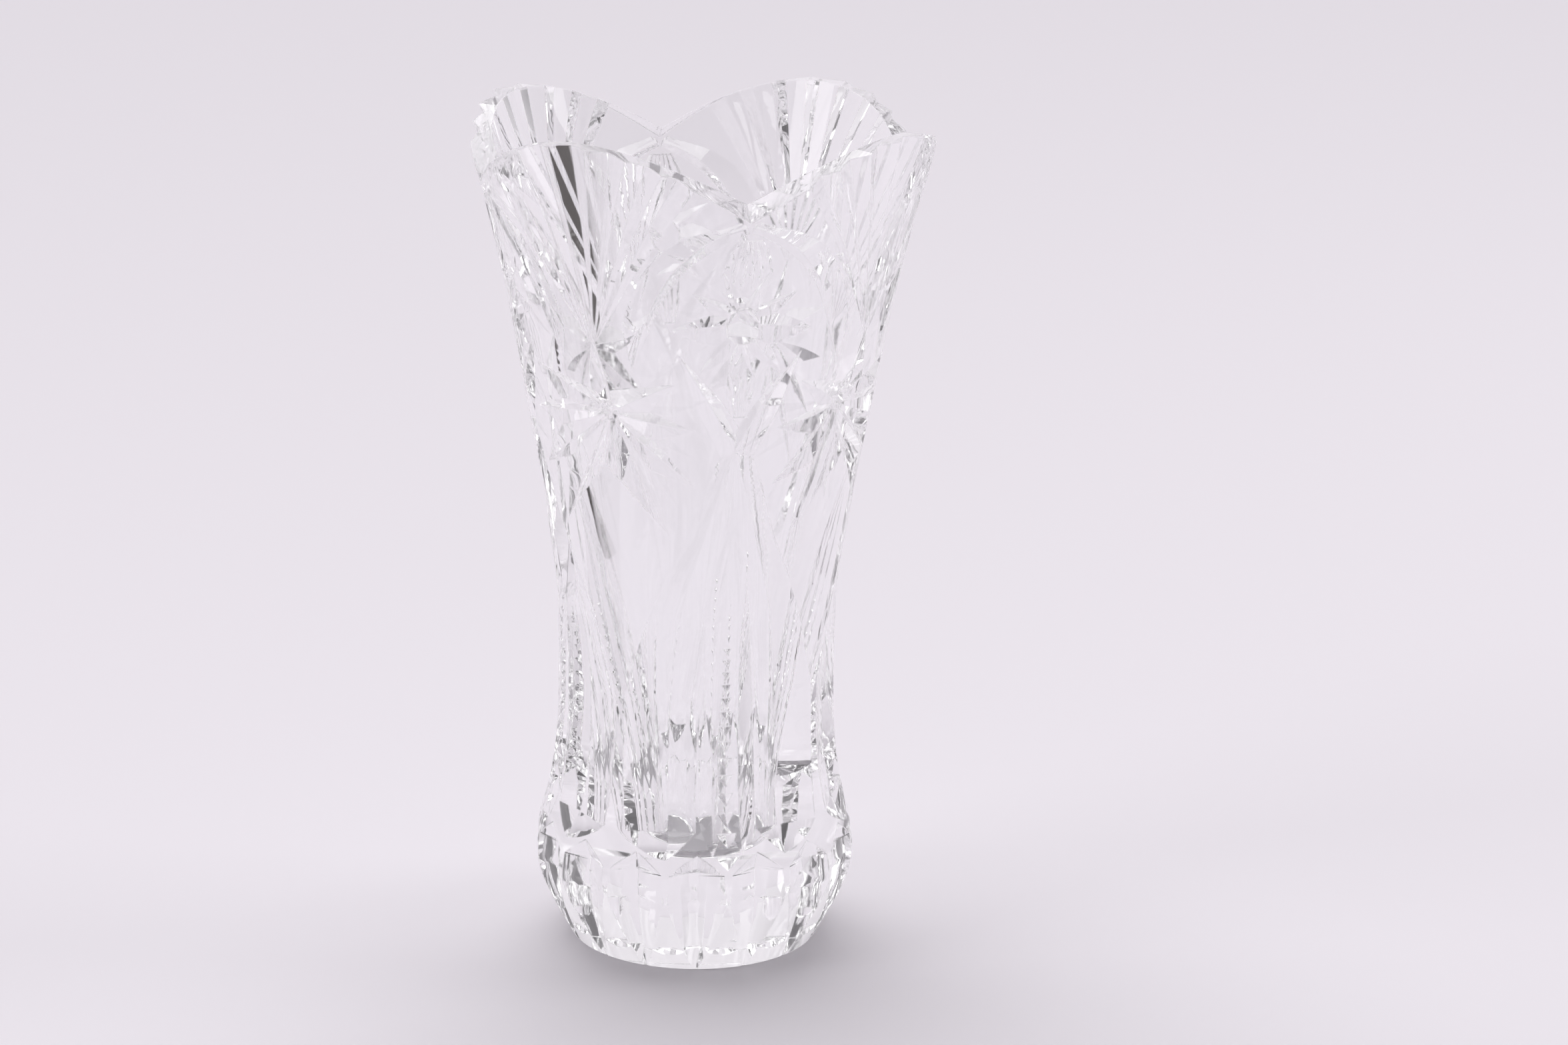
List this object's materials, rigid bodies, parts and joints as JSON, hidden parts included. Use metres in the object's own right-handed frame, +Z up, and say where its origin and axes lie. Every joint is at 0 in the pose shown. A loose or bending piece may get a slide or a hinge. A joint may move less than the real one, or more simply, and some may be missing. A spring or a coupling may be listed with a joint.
{
  "type": "cut crystal vase",
  "caption": "Tall flared vase of thick clear crystal glass with a scalloped rim, wheel-cut fans, stars, arches and a faceted foot, open at the top for water and stems.",
  "frame": {"origin": "centre of the flat foot, on the surface the vase stands on", "axes": "+Z up along the vase's own axis; -Y points at one notch of the scalloped rim, so the cutting is the same seen from +X, -X, +Y and -Y"},
  "size_m": [0.156, 0.156, 0.3],
  "materials": {
    "crystal": "polished clear crystal"
  },
  "bodies": {
    "root": {"vase_body": "crystal"}
  },
  "joints": []
}
